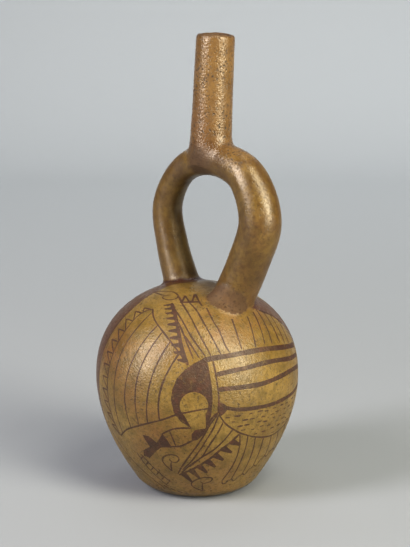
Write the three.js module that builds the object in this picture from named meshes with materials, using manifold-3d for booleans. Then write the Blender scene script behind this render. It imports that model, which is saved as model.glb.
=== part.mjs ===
// A stirrup spout vessel: a hollow, hand-built bottle of burnished fired clay.
//
// The egg-shaped chamber stands on a small flat base. Two hollow arms rise from its
// shoulder, bend towards each other like a stirrup and join under one upright spout,
// so that a liquid poured into the spout runs down both arms into the chamber.
// It is fired as one piece, so it is one solid with an open bore and true walls.
//
// Frame: millimetres, +Z up, origin at the centre of the base on the ground.
// The stirrup lies in a plane parallel to XZ, with the thicker arm on the +X side.

import * as THREE from "three";
import { mergeVertices } from "three/addons/utils/BufferGeometryUtils.js";
import Module from "manifold-3d";

// Chamber
const CHAMBER_RADIUS = 62.4;
const WIDEST_HEIGHT = 70;
const CHAMBER_HEIGHT = 128;
const BASE_SHRINK = 0.465; // share of the radius lost between the widest line and the base
const BASE_POWER = 1.85;
const DOME_POWER = 2.3;
const BASE_EDGE = 18; // radius of the rounding between the wall and the flat base
const CHAMBER_WALL = 4.6;
const FLOOR_WALL = 6;

// Stirrup: its plane is set off the chamber's axis, as the hand-built one is
const STIRRUP_X = 4.6;
const STIRRUP_Y = 6.0;
const TUBE_WALL = 3.5;
const FOOT_FLARE = 4.2; // how far the clay swells out where an arm meets the chamber
const FLARE_REACH = 7;
// Stations along the arch: distance from the stirrup's middle, height, tube radius
const ARCH = [
  { along: -20.6, height: 116.0, radius: 11.2 },
  { along: -32.3, height: 146.5, radius: 9.9 },
  { along: -36.4, height: 171.7, radius: 9.2 },
  { along: -22.5, height: 194.9, radius: 8.6 },
  { along: 2.7, height: 204.5, radius: 9.9 },
  { along: 30.3, height: 197.7, radius: 11.5 },
  { along: 42.1, height: 172.7, radius: 12.7 },
  { along: 32.6, height: 145.2, radius: 12.6 },
  { along: 14.9, height: 112.0, radius: 12.8 },
];

// Spout: it leans a little, narrows upwards and ends in a worn, rounded lip
const SPOUT_FOOT = new THREE.Vector3(4.8, 6.2, 203);
const SPOUT_TOP = new THREE.Vector3(7.2, 8.6, 279.5);
const SPOUT_WALL = 3.7;
const SPOUT_RADII = [
  { height: 203, radius: 9.4 },
  { height: 208, radius: 11.2 },
  { height: 213, radius: 12.5 },
  { height: 219, radius: 12.5 },
  { height: 232, radius: 12.1 },
  { height: 256, radius: 11.8 },
  { height: 272, radius: 11.5 },
  { height: 276.5, radius: 11.0 },
  { height: 278.6, radius: 10.2 },
  { height: 279.5, radius: 9.0 },
];
const BORE_FOOT = { height: 204, radius: 6 }; // where the spout's bore opens into the arch's
const BORE_STRAIGHT = [213, 275]; // heights between which the bore follows the outside
const BORE_MOUTH = { height: 277.5, radius: 7.7 };
const LIP_CLEAR = 3; // how far the bore's cutter runs past the lip
const LIP_CHIP = { angle: 12, width: 3.4, depth: 1.5 }; // the nick in the rim, seen from above

// Facets round each form
const CHAMBER_SIDES = 56;
const CHAMBER_STEPS = 25;
const EDGE_STEPS = 3;
const CAVITY_SIDES = 36;
const CAVITY_STEPS = 16;
const TUBE_SIDES = 22;
const TUBE_STEPS = 42;
const BORE_SIDES = 14;
const BORE_STEPS = 34;
const SPOUT_SIDES = 26;

const wasm = await Module();
wasm.setup();

/** Outer radius of the egg form at a height, from its widest radius, height and foot. */
function eggRadius(height, radius, bottom, top) {
  if (height >= WIDEST_HEIGHT) {
    const rise = Math.min(1, (height - WIDEST_HEIGHT) / (top - WIDEST_HEIGHT));
    return radius * Math.sqrt(Math.max(0, 1 - rise ** DOME_POWER));
  }
  const drop = (WIDEST_HEIGHT - height) / (WIDEST_HEIGHT - bottom);
  return radius * (1 - BASE_SHRINK * drop ** BASE_POWER);
}

/** Profile of an egg form as points from the axis at the bottom to the axis at the top. */
function eggProfile(radius, bottom, top, edge, steps) {
  const corner = eggRadius(bottom, radius, bottom, top);
  const wallTilt = Math.atan((radius * BASE_SHRINK * BASE_POWER) / (WIDEST_HEIGHT - bottom));
  const arc = Math.PI / 2 - wallTilt;
  const tangent = edge * Math.tan(arc / 2);
  const wallStart = bottom + tangent * Math.cos(wallTilt);
  const points = [new THREE.Vector2(0, bottom)];
  for (let i = 0; i < EDGE_STEPS; i += 1) {
    const turn = (i / EDGE_STEPS) * arc;
    const out = corner - tangent + edge * Math.sin(turn);
    points.push(new THREE.Vector2(out, bottom + edge * (1 - Math.cos(turn))));
  }
  for (let i = 0; i < steps; i += 1) {
    const along = Math.sin(((i / steps) * Math.PI) / 2); // closer steps near the flat top
    const height = wallStart + (top - wallStart) * along;
    points.push(new THREE.Vector2(eggRadius(height, radius, bottom, top), height));
  }
  points.push(new THREE.Vector2(0, top));
  return points;
}

/** A closed egg form turned about the Z axis. */
function egg(radius, bottom, top, edge, sides, steps) {
  const turned = new THREE.LatheGeometry(eggProfile(radius, bottom, top, edge, steps), sides);
  return turned.rotateX(Math.PI / 2);
}

/** Rings of points joined into one closed skin, with a flat cap at each end. */
function loft(rings) {
  const sides = rings[0].length;
  const positions = [];
  const index = [];
  rings.flat().forEach((p) => positions.push(p.x, p.y, p.z));
  for (let ring = 0; ring + 1 < rings.length; ring += 1) {
    for (let side = 0; side < sides; side += 1) {
      const next = (side + 1) % sides;
      const a = ring * sides + side;
      const b = ring * sides + next;
      index.push(a, b + sides, b, a, a + sides, b + sides);
    }
  }
  const last = (rings.length - 1) * sides;
  for (let side = 1; side + 1 < sides; side += 1) {
    index.push(0, side, side + 1);
    index.push(last, last + side + 1, last + side);
  }
  const skin = new THREE.BufferGeometry();
  skin.setAttribute("position", new THREE.Float32BufferAttribute(positions, 3));
  skin.setIndex(index);
  return skin;
}

/** A ring of points of a radius, square to a direction that lies in the stirrup's plane. */
function ringAround(centre, direction, radius, sides) {
  const across = new THREE.Vector3(0, 1, 0);
  const outward = new THREE.Vector3().crossVectors(across, direction).normalize();
  return Array.from({ length: sides }, (_, side) => {
    const turn = (side / sides) * 2 * Math.PI;
    return centre
      .clone()
      .addScaledVector(outward, radius * Math.cos(turn))
      .addScaledVector(across, -radius * Math.sin(turn));
  });
}

/** A ring with each point moved outward where it comes close to the chamber's skin. */
function flareRing(ring, centre, flare) {
  return ring.map((point) => {
    const gap = Math.max(0, point.z - domeHeight(point.x, point.y));
    const outward = new THREE.Vector3().subVectors(point, centre).normalize();
    return point.clone().addScaledVector(outward, flare * Math.exp(-gap / FLARE_REACH));
  });
}

/** Value at a share of the way through a list, on a smooth curve through its values. */
function smoothAt(values, share) {
  const curve = new THREE.SplineCurve(values.map((value, i) => new THREE.Vector2(i, value)));
  return curve.getPoint(share).y;
}

/** The arch as a tube. inset is how far its skin lies inside the clay's outer face. */
function archTube(inset, flare, sides, steps) {
  const line = new THREE.CatmullRomCurve3(
    ARCH.map(({ along, height }) => new THREE.Vector3(STIRRUP_X + along, STIRRUP_Y, height)),
    false,
    "centripetal",
  );
  const radii = ARCH.map(({ radius }) => radius);
  const rings = [];
  for (let step = 0; step <= steps; step += 1) {
    const share = step / steps;
    const centre = line.getPoint(share);
    const ring = ringAround(centre, line.getTangent(share), smoothAt(radii, share) - inset, sides);
    rings.push(flareRing(ring, centre, flare));
  }
  return loft(rings);
}

/** Height of the chamber's outer face over a point of the plan. */
function domeHeight(x, y) {
  const out = Math.min(1, Math.hypot(x, y) / CHAMBER_RADIUS);
  return WIDEST_HEIGHT + (CHAMBER_HEIGHT - WIDEST_HEIGHT) * (1 - out ** 2) ** (1 / DOME_POWER);
}

/** A tube between two heights of the spout's leaning axis. */
function spoutTube(stations, sides) {
  const lean = new THREE.Vector3().subVectors(SPOUT_TOP, SPOUT_FOOT);
  const rings = stations.map(({ height, radius }) => {
    const share = (height - SPOUT_FOOT.z) / lean.z;
    const centre = SPOUT_FOOT.clone().addScaledVector(lean, share);
    return ringAround(centre, new THREE.Vector3(0, 0, 1), radius, sides);
  });
  return loft(rings);
}

/** The spout's bore, from inside the arch to above the lip. */
function spoutBore() {
  const inside = ({ height }) => height > BORE_STRAIGHT[0] && height < BORE_STRAIGHT[1];
  const stations = [
    BORE_FOOT,
    ...SPOUT_RADII.filter(inside).map(({ height, radius }) => ({ height, radius: radius - SPOUT_WALL })),
    BORE_MOUTH,
    { height: SPOUT_TOP.z + LIP_CLEAR, radius: BORE_MOUTH.radius + 1 },
  ];
  return spoutTube(stations, BORE_SIDES);
}

/** The small nick in the lip. */
function lipChip() {
  const turn = THREE.MathUtils.degToRad(LIP_CHIP.angle);
  const rim = SPOUT_RADII.at(-2).radius;
  const nick = new THREE.SphereGeometry(1, 8, 6).scale(LIP_CHIP.width, LIP_CHIP.width / 2, LIP_CHIP.depth);
  nick.rotateZ(turn);
  return nick.translate(SPOUT_TOP.x + rim * Math.cos(turn), SPOUT_TOP.y + rim * Math.sin(turn), SPOUT_TOP.z);
}

/** A closed geometry as a solid that can be joined and cut. */
function toSolid(geometry) {
  const bare = geometry.clone();
  bare.deleteAttribute("normal");
  bare.deleteAttribute("uv");
  const merged = mergeVertices(bare, 1e-4);
  const corners = merged.index.array;
  const kept = [];
  for (let i = 0; i < corners.length; i += 3) {
    const [a, b, c] = corners.slice(i, i + 3);
    if (a !== b && b !== c && c !== a) kept.push(a, b, c);
  }
  return new wasm.Manifold(
    new wasm.Mesh({
      numProp: 3,
      vertProperties: new Float32Array(merged.attributes.position.array),
      triVerts: new Uint32Array(kept),
    }),
  );
}

/** A solid's skin as a geometry that a mesh can show. */
function toGeometry(solid) {
  const { vertProperties, triVerts, numProp } = solid.getMesh();
  const positions = [];
  for (let i = 0; i < vertProperties.length; i += numProp) {
    positions.push(vertProperties[i], vertProperties[i + 1], vertProperties[i + 2]);
  }
  const geometry = new THREE.BufferGeometry();
  geometry.setAttribute("position", new THREE.Float32BufferAttribute(positions, 3));
  geometry.setIndex(Array.from(triVerts));
  geometry.computeVertexNormals();
  return geometry;
}

/** The outer form: chamber, arch and spout as one. */
function outerForm() {
  const chamber = toSolid(egg(CHAMBER_RADIUS, 0, CHAMBER_HEIGHT, BASE_EDGE, CHAMBER_SIDES, CHAMBER_STEPS));
  const arch = toSolid(archTube(0, FOOT_FLARE, TUBE_SIDES, TUBE_STEPS));
  const spout = toSolid(spoutTube(SPOUT_RADII, SPOUT_SIDES));
  return chamber.add(arch).add(spout).subtract(toSolid(lipChip()));
}

/** The hollow inside: the chamber's cavity, the arch's bore and the spout's bore. */
function innerForm() {
  const cavity = toSolid(
    egg(
      CHAMBER_RADIUS - CHAMBER_WALL,
      FLOOR_WALL,
      CHAMBER_HEIGHT - CHAMBER_WALL,
      BASE_EDGE,
      CAVITY_SIDES,
      CAVITY_STEPS,
    ),
  );
  return cavity.add(toSolid(archTube(TUBE_WALL, 0, BORE_SIDES, BORE_STEPS))).add(toSolid(spoutBore()));
}

const clay = new THREE.MeshStandardMaterial({ color: 0xa6824c, roughness: 0.42, metalness: 0 });
const vessel = new THREE.Mesh(toGeometry(outerForm().subtract(innerForm())), clay);
vessel.name = "vessel";

const bottle = new THREE.Group();
bottle.add(vessel);
export default bottle;
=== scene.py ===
import logging
import math
from dataclasses import dataclass, field
from enum import Enum
from typing import Sequence

import bpy
import numpy as np
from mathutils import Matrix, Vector
from mathutils.geometry import delaunay_2d_cdt
from mathutils.kdtree import KDTree


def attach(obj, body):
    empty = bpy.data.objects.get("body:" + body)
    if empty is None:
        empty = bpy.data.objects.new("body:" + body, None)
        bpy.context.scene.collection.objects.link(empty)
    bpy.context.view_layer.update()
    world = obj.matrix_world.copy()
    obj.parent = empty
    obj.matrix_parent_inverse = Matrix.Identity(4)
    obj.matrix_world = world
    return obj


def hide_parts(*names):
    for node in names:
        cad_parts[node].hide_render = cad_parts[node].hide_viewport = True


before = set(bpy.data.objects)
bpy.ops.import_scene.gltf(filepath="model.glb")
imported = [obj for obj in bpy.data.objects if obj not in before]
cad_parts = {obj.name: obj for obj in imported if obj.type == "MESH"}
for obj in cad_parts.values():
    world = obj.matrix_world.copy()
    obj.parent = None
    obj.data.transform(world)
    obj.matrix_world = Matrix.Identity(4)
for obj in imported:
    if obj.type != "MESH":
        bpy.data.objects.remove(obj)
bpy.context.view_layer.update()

log = logging.getLogger("vessel")

Array = np.ndarray
Point = tuple[float, float]
Triple = tuple[float, float, float]
Colour = tuple[int, int, int]
Socket = bpy.types.NodeSocket

MM = 0.001
FULL_TURN = 2.0 * math.pi
FRONT = -math.pi / 4  # direction of the picture's middle round the chamber, from +X
PHOTO_RIGHT, PHOTO_AWAY = Vector((0.7071, 0.7071, 0.0)), Vector((-0.7071, 0.7071, 0.0))
FAR = 99.0  # a distance that stands for nowhere near, in mm

ROUNDING_STEPS, WALL_STEPS = 80, 2400  # samples of an egg's profile, on its base's rounding and above
SETTLE_ROUNDS, SETTLE_SHARE = 12, 0.8  # how the nearest place on an egg is closed in on
REST_ROUNDS, REST_SHARE = 14, 0.85  # how a wall's points are brought onto the joined form
CHUNK = 30000  # points measured against the stirrup at a time
FOOT_KEEP = 1.7  # how far outside an arm the stirrup's own mesh runs before the wall takes over
BORE_KEEP = 1.6  # how far outside a bore the stirrup's own mesh runs on the cavity's roof
NECK = 8.0  # half width of the strip between the arms' feet that the stirrup's mesh keeps
BLEND = 14.0  # how far from the stirrup's own mesh the walls still swell towards it
MERGE = 1e-6  # points of a flat map that are closer than this become one
LONG_WAVE, SHORT_WAVE, SHORT_SHARE = 4.1, 1.7, 0.6  # how a brush line's width sways along it, in mm
DRIFT, DRIFT_WAVE = 0.10, 6.3  # how far a line strays sideways, and over what length, in mm
TIP, TIP_LENGTH = 0.55, 2.2  # a line's share of its width at its ends, and how slowly it fills out


class Skin(Enum):
    """The stretches of surface that are unwrapped apart."""

    WALL = 0
    BASE = 1
    CAVITY = 2
    CAVITY_FLOOR = 3
    ARCH = 4
    SPOUT = 5
    ARCH_BORE = 6
    SPOUT_BORE = 7


def soft_min(a: Array, b: Array, reach: float | Array) -> Array:
    """The smaller of two distances, rounded off where they are within a reach of each other."""
    overlap = np.clip(reach - np.abs(a - b), 0.0, None) / reach
    return np.minimum(a, b) - overlap**2 * reach / 4


def soft_max(a: Array, b: Array, reach: float) -> Array:
    """The larger of two distances, rounded off where they are within a reach of each other."""
    return -soft_min(-a, -b, reach)


def running_total(steps: Array) -> Array:
    """The steps' running sum, with a 0 before the first."""
    return np.concatenate([[0.0], np.cumsum(steps)])


def wrapped(degrees: Array) -> Array:
    """Angles brought between -180 and 180 degrees."""
    return (degrees + 180.0) % 360.0 - 180.0


def smooth_through(values: Array | Sequence[Point], share: Array) -> Array:
    """A smooth curve through evenly spaced values.

    Args:
        values: One row for each value.
        share: Where to read the curve, from 0 at the first value to 1 at the last.

    Returns:
        One row for each share.
    """
    values = np.asarray(values, float)
    spans = len(values) - 1
    at = np.clip(np.asarray(share, float) * spans, 0.0, spans - 1e-9)
    low = at.astype(int)
    t = (at - low).reshape((-1,) + (1,) * (values.ndim - 1))
    p0, p1 = values[np.maximum(low - 1, 0)], values[low]
    p2, p3 = values[low + 1], values[np.minimum(low + 2, spans)]
    v0, v1 = (p2 - p0) / 2, (p3 - p1) / 2
    return (2 * p1 - 2 * p2 + v0 + v1) * t**3 + (3 * p2 - 3 * p1 - 2 * v0 - v1) * t**2 + v0 * t + p1


@dataclass
class Egg:
    """The egg form of the chamber or of its cavity, turned about the upright axis, in mm.

    up is the length along the wall from the edge of the flat base. The flat map lays the
    wall out round the top as an equal-angle map, so small shapes keep their form on it.
    """

    radius: float = 62.4
    floor: float = 0.0
    top: float = 128.0
    widest: float = 70.0
    shrink: float = 0.465
    base_power: float = 1.85
    dome_power: float = 2.3
    edge: float = 18.0
    up: Array = field(init=False)
    r: Array = field(init=False)
    z: Array = field(init=False)
    slope: Array = field(init=False)
    spread: Array = field(init=False)

    def __post_init__(self) -> None:
        """Works out the profile and the flat map's spread along it."""
        tilt = math.atan(self.radius * self.shrink * self.base_power / (self.widest - self.floor))
        arc = math.pi / 2 - tilt
        tangent = self.edge * math.tan(arc / 2)
        turn = np.linspace(0.0, arc, ROUNDING_STEPS)[:-1]
        flat = self.radius * (1 - self.shrink) - tangent
        rounding = np.stack([flat + self.edge * np.sin(turn), self.edge * (1 - np.cos(turn))], 1)
        rounding[:, 1] += self.floor
        start = self.floor + tangent * math.cos(tilt)
        quarter = np.linspace(0.0, 1.0, WALL_STEPS)[:-1] * math.pi / 2
        heights = start + (self.top - start) * np.sin(quarter)
        wall = np.stack([self.radius_at(heights), heights], 1)
        self.r, self.z = np.concatenate([rounding, wall]).T
        steps = np.hypot(np.diff(self.r), np.diff(self.z))
        self.up = running_total(steps)
        self.slope = np.unwrap(np.arctan2(np.gradient(self.z, self.up), np.gradient(self.r, self.up)))
        spread = -running_total(steps / ((self.r[1:] + self.r[:-1]) / 2))
        self.spread = spread - np.interp(self.widest, self.z, spread) + math.log(self.radius)

    def radius_at(self, height: Array) -> Array:
        """Radius of the form at a height."""
        rise = np.clip((height - self.widest) / (self.top - self.widest), 0.0, 1.0)
        drop = np.clip((self.widest - height) / (self.widest - self.floor), 0.0, 1.0)
        dome = self.radius * np.sqrt(1 - rise**self.dome_power)
        foot = self.radius * (1 - self.shrink * drop**self.base_power)
        return np.where(height >= self.widest, dome, foot)

    def flat(self, angle: Array, up: Array) -> Array:
        """Points of the flat map for angles in radians and lengths up the wall."""
        reach = np.exp(np.interp(up, self.up, self.spread))
        return np.stack([reach * np.cos(angle), reach * np.sin(angle)], -1)

    def from_flat(self, flat: Array) -> tuple[Array, Array]:
        """Angles and lengths up the wall for points of the flat map."""
        reach = np.hypot(flat[:, 0], flat[:, 1])
        up = np.interp(-np.log(reach), -self.spread, self.up)
        return np.arctan2(flat[:, 1], flat[:, 0]), up

    def scale(self, up: Array) -> Array:
        """How many units of the flat map one millimetre of the wall takes."""
        return np.exp(np.interp(up, self.up, self.spread)) / np.interp(up, self.up, self.r)

    def surface(self, angle: Array, up: Array) -> tuple[Array, Array]:
        """Points of the form and the directions that face out of it there."""
        r, z = np.interp(up, self.up, self.r), np.interp(up, self.up, self.z)
        slope = np.interp(up, self.up, self.slope)
        c, s = np.cos(angle), np.sin(angle)
        points = np.stack([r * c, r * s, z], -1)
        return points, np.stack([np.sin(slope) * c, np.sin(slope) * s, -np.cos(slope)], -1)

    def nearest(self, points: Array) -> tuple[Array, Array]:
        """Angle and length up the wall of the form's point nearest to each point."""
        rho = np.hypot(points[:, 0], points[:, 1])
        up = np.interp(points[:, 2], self.z[ROUNDING_STEPS:], self.up[ROUNDING_STEPS:])
        for _ in range(SETTLE_ROUNDS):
            r, z = np.interp(up, self.up, self.r), np.interp(up, self.up, self.z)
            slope = np.interp(up, self.up, self.slope)
            off = (rho - r) * np.cos(slope) + (points[:, 2] - z) * np.sin(slope)
            up = np.clip(up + SETTLE_SHARE * off, 0.0, self.up[-1])
        return np.arctan2(points[:, 1], points[:, 0]), up

    def distance(self, points: Array) -> Array:
        """Distance outside the dome, below 0 inside; it holds above the widest line."""
        rho = np.hypot(points[:, 0], points[:, 1])
        rise = np.clip((points[:, 2] - self.widest) / (self.top - self.widest), 0.0, None)
        form = (rho / self.radius) ** 2 + rise**self.dome_power - 1
        steep = self.dome_power * rise ** (self.dome_power - 1) / (self.top - self.widest)
        return form / (np.hypot(2 * rho / self.radius**2, steep) + 1e-5)


@dataclass
class Arch:
    """The stirrup: one tube that rises from the shoulder, bends over and comes down again."""

    middle_x: float = 4.6
    middle_y: float = 6.0
    wall: float = 3.5
    stations: tuple[Triple, ...] = (  # place along the stirrup's plane, height and radius
        (-20.6, 116.0, 11.2), (-32.3, 146.5, 9.9), (-36.4, 171.7, 9.2), (-22.5, 194.9, 8.6),
        (2.7, 204.5, 9.9), (30.3, 197.7, 11.5), (42.1, 172.7, 12.7), (32.6, 145.2, 12.6),
        (14.9, 112.0, 12.8),
    )
    samples: int = 420
    line: Array = field(init=False)
    radii: Array = field(init=False)
    along: Array = field(init=False)

    def __post_init__(self) -> None:
        """Works out the tube's middle line and its radius at each point."""
        spots = np.array([(self.middle_x + s, self.middle_y, z) for s, z, _ in self.stations])
        ends = np.stack([2 * spots[0] - spots[1], 2 * spots[-1] - spots[-2]])
        spots = np.concatenate([ends[:1], spots, ends[1:]])
        share = np.linspace(0.0, 1.0, self.samples)
        self.line = np.stack([self._centre(spots, s) for s in share])
        self.radii = smooth_through(np.array([r for _, _, r in self.stations]), share)
        self.along = running_total(np.linalg.norm(np.diff(self.line, axis=0), axis=1))

    @staticmethod
    def _centre(spots: Array, share: float) -> Array:
        """A point of the even-paced smooth curve through the spots between the two end ones."""
        spans = len(spots) - 3
        low = min(int(share * spans), spans - 1)
        t = share * spans - low
        p0, p1, p2, p3 = spots[low : low + 4]
        d0, d1, d2 = (math.sqrt(np.linalg.norm(b - a)) for a, b in ((p0, p1), (p1, p2), (p2, p3)))
        v1 = ((p1 - p0) / d0 - (p2 - p0) / (d0 + d1) + (p2 - p1) / d1) * d1
        v2 = ((p2 - p1) / d1 - (p3 - p1) / (d1 + d2) + (p3 - p2) / d2) * d1
        return (2 * p1 - 2 * p2 + v1 + v2) * t**3 + (3 * p2 - 3 * p1 - 2 * v1 - v2) * t**2 + v1 * t + p1

    def reach(self, points: Array) -> tuple[Array, Array]:
        """Distance outside the tube's skin, below 0 inside, and length along the tube."""
        away, along = np.empty(len(points)), np.empty(len(points))
        squares = (self.line**2).sum(1)
        for start in range(0, len(points), CHUNK):
            part = slice(start, start + CHUNK)
            some = points[part]
            near = np.argmin(squares - 2 * some @ self.line.T, axis=1)
            best = np.full(len(some), np.inf)
            for low in (np.maximum(near - 1, 0), np.minimum(near, self.samples - 2)):
                a, b = self.line[low], self.line[low + 1]
                run = b - a
                t = np.clip(((some - a) * run).sum(1) / (run**2).sum(1), 0.0, 1.0)
                gap = np.linalg.norm(some - a - run * t[:, None], axis=1)
                closer = gap < best
                best = np.where(closer, gap, best)
                radius = self.radii[low] * (1 - t) + self.radii[low + 1] * t
                length = self.along[low] * (1 - t) + self.along[low + 1] * t
                away[part][closer] = (gap - radius)[closer]
                along[part][closer] = length[closer]
        return away, along

    def line_at(self, along: Array) -> Array:
        """Points of the tube's middle line at lengths along it."""
        return np.stack([np.interp(along, self.along, self.line[:, i]) for i in range(3)], 1)

    def angle_round(self, points: Array, along: Array) -> Array:
        """Angle round the tube's line, 0 on the outside of the bend, in the stirrup's plane."""
        run = self.line_at(along + 1.0) - self.line_at(along - 1.0)
        run /= np.linalg.norm(run, axis=1)[:, None]
        outward = np.stack([-run[:, 2], np.zeros(len(run)), run[:, 0]], 1)
        off = points - self.line_at(along)
        return np.arctan2(off[:, 1], (off * outward).sum(1))


@dataclass
class Spout:
    """The upright spout, which leans a little and ends in a worn, rounded lip."""

    foot: Triple = (4.8, 6.2, 203.0)
    top: Triple = (7.2, 8.6, 279.5)
    stations: tuple[Point, ...] = (  # height and outer radius
        (203.0, 9.4), (208.0, 11.2), (213.0, 12.4), (219.0, 12.5),
        (232.0, 12.1), (256.0, 11.8), (272.0, 11.6), (284.0, 11.3),
    )
    bores: tuple[Point, ...] = ((204.0, 6.0), (219.0, 8.7), (256.0, 8.1), (277.5, 7.7), (282.5, 8.6))
    lip_round: float = 2.6
    lip_tilt: float = 0.5  # how much lower the lip lies at the back than at the front
    lip_dip: float = 0.9  # how far it dips towards dip_turn
    dip_turn: float = math.radians(35.0)
    lip_wear: tuple[Triple, ...] = ((0.10, 3, 0.6), (0.08, 8, 2.0))  # depth, waves round it and start
    chip_turn: float = math.radians(12.0)
    chip_out: float = 9.6  # the nick's distance from the axis
    chip_radius: float = 2.3
    chip_flatness: float = 0.6

    def axis_at(self, height: Array) -> Array:
        """Points of the leaning axis, one row for each height."""
        foot, top = np.array(self.foot), np.array(self.top)
        return foot + (top - foot) * ((height - foot[2]) / (top[2] - foot[2]))[:, None]

    def off_axis(self, points: Array) -> tuple[Array, Array]:
        """Distances from the leaning axis, and directions round it in radians."""
        off = points - self.axis_at(points[:, 2])
        return np.hypot(off[:, 0], off[:, 1]), np.arctan2(off[:, 1], off[:, 0])

    def outside(self, points: Array) -> Array:
        """Distance outside the spout's skin, below 0 inside."""
        heights, radii = np.array(self.stations).T
        dense = np.linspace(heights[0], heights[-1], 200)
        share = np.interp(dense, heights, np.linspace(0.0, 1.0, len(heights)))
        radius = np.interp(points[:, 2], dense, smooth_through(radii, share))
        rho, turn = self.off_axis(points)
        worn = sum(depth * np.sin(waves * turn + start) for depth, waves, start in self.lip_wear)
        back = 0.5 - 0.5 * np.cos(turn - FRONT)
        dip = np.clip(1.4 * np.cos(turn - self.dip_turn) - 0.4, 0.0, 1.0)
        lid = points[:, 2] - self.top[2] + self.lip_tilt * back + self.lip_dip * dip - worn
        return soft_max(soft_max(rho - radius, lid, self.lip_round), self.foot[2] - points[:, 2], 1.0)

    def bore(self, points: Array) -> Array:
        """Distance outside the spout's bore, below 0 inside it."""
        heights, radii = np.array(self.bores).T
        rho, _ = self.off_axis(points)
        return soft_max(rho - np.interp(points[:, 2], heights, radii), heights[0] - points[:, 2], 1.0)

    def chip(self, points: Array) -> Array:
        """Distance outside the nick in the lip, below 0 inside it."""
        rim = np.array(self.top)
        rim[:2] += self.chip_out * np.array([math.cos(self.chip_turn), math.sin(self.chip_turn)])
        flattened = (points - rim) / np.array([1.0, 1.0, self.chip_flatness])
        return np.linalg.norm(flattened, axis=1) - self.chip_radius


@dataclass
class Form:
    """The whole hollow form, as one smooth distance that is below 0 in the clay."""

    chamber: Egg
    cavity: Egg
    arch: Arch
    spout: Spout
    foot_reach: Point = (4.2, 1.6)  # rounding at the thinner and at the thicker arm's foot
    foot_span: Point = (-8.0, 12.0)  # where along x the one turns into the other
    flare: float = 9.0  # how far the smeared clay spreads from the thicker arm's foot
    flare_height: float = 5.0
    flare_turn: float = -68.0  # the side that it spreads to, in degrees from +X
    flare_breadth: float = 52.0
    flare_top: float = 38.0  # height above the end of the arm's line up to which it is looked for
    spout_reach: float = 7.0
    bore_reach: float = 3.0
    lip_reach: float = 0.8

    def flared(self, points: Array, tube: Array) -> Array:
        """Distance outside the arms with the smeared clay that spreads from the thicker one's foot.

        Args:
            points: The points.
            tube: Their distances outside the bare arms.

        Returns:
            The distances with the spread clay.
        """
        foot = self.arch.line[-1]
        lean = self.arch.line[-2] - foot
        rise = (points[:, 2] - foot[2]) / lean[2]
        middle = foot[:2] + lean[:2] * rise[:, None]
        turn = np.degrees(np.arctan2(points[:, 1] - middle[:, 1], points[:, 0] - middle[:, 0]))
        side = np.exp(-((wrapped(turn - self.flare_turn) / self.flare_breadth) ** 4))
        away = np.clip(self.chamber.distance(points), 0.0, None)
        spread = self.flare * side * np.exp(-away / self.flare_height)
        near = (points[:, 0] > 0.0) & (points[:, 2] < foot[2] + self.flare_top)
        return tube - np.where(near, spread, 0.0)

    def layers(self, points: Array) -> tuple[Array, Array]:
        """Distances outside the outer form and outside the hollow."""
        tube, _ = self.arch.reach(points)
        reach = np.interp(points[:, 0], self.foot_span, self.foot_reach)
        outer = soft_min(self.chamber.distance(points), self.flared(points, tube), reach)
        outer = soft_min(outer, self.spout.outside(points), self.spout_reach)
        inner = soft_min(self.cavity.distance(points), tube + self.arch.wall, self.bore_reach)
        return outer, soft_min(inner, self.spout.bore(points), self.bore_reach)

    def clay(self, points: Array) -> Array:
        """Distance outside the clay, below 0 inside it."""
        outer, inner = self.layers(points)
        walls = soft_max(outer, -inner, self.lip_reach)
        return soft_max(walls, -self.spout.chip(points), self.lip_reach)

    def outward(self, points: Array, step: float = 0.05) -> Array:
        """The direction in which the distance grows fastest, at full length."""
        slopes = []
        for axis in range(3):
            shift = np.zeros(3)
            shift[axis] = step
            slopes.append((self.clay(points + shift) - self.clay(points - shift)) / (2 * step))
        return np.stack(slopes, 1)


def surface_net(values: Array, origin: Array, step: float) -> tuple[Array, Array]:
    """A mesh of four-sided faces round the part of a grid that is below 0.

    Args:
        values: Distances on a regular grid.
        origin: Place of the grid's first corner.
        step: Grid spacing.

    Returns:
        The mesh's points, and its faces with their fronts towards the positive side.
    """
    inside = values < 0.0
    shape = tuple(n - 1 for n in values.shape)
    total, count = np.zeros(shape + (3,)), np.zeros(shape)
    for axis in range(3):
        b, c = (axis + 1) % 3, (axis + 2) % 3
        for db, dc in ((0, 0), (0, 1), (1, 0), (1, 1)):
            low = [slice(0, n - 1) for n in values.shape]
            low[b] = slice(db, values.shape[b] - 1 + db)
            low[c] = slice(dc, values.shape[c] - 1 + dc)
            high = list(low)
            high[axis] = slice(1, values.shape[axis])
            start, end = values[tuple(low)], values[tuple(high)]
            crossed = (start < 0.0) != (end < 0.0)
            total[..., axis] += np.where(crossed, start / np.where(crossed, start - end, 1.0), 0.0)
            total[..., b] += crossed * db
            total[..., c] += crossed * dc
            count += crossed
    used = count > 0
    ids = np.full(shape, -1)
    ids[used] = np.arange(int(used.sum()))
    points = (np.argwhere(used) + total[used] / count[used][:, None]) * step + origin
    faces = []
    for axis in range(3):
        b, c = (axis + 1) % 3, (axis + 2) % 3
        low, high = [slice(None)] * 3, [slice(None)] * 3
        low[axis], high[axis] = slice(0, -1), slice(1, None)
        at = np.argwhere(inside[tuple(low)] != inside[tuple(high)])
        at = at[(at[:, b] > 0) & (at[:, c] > 0) & (at[:, b] < shape[b]) & (at[:, c] < shape[c])]
        ring = []
        for db, dc in ((1, 1), (0, 1), (0, 0), (1, 0)):
            cell = at.copy()
            cell[:, b] -= db
            cell[:, c] -= dc
            ring.append(ids[tuple(cell.T)])
        ring = np.stack(ring, 1)
        inner = inside[tuple(at.T)]
        faces.append(np.where(inner[:, None], ring, ring[:, ::-1]))
    return points, np.concatenate(faces)


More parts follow.
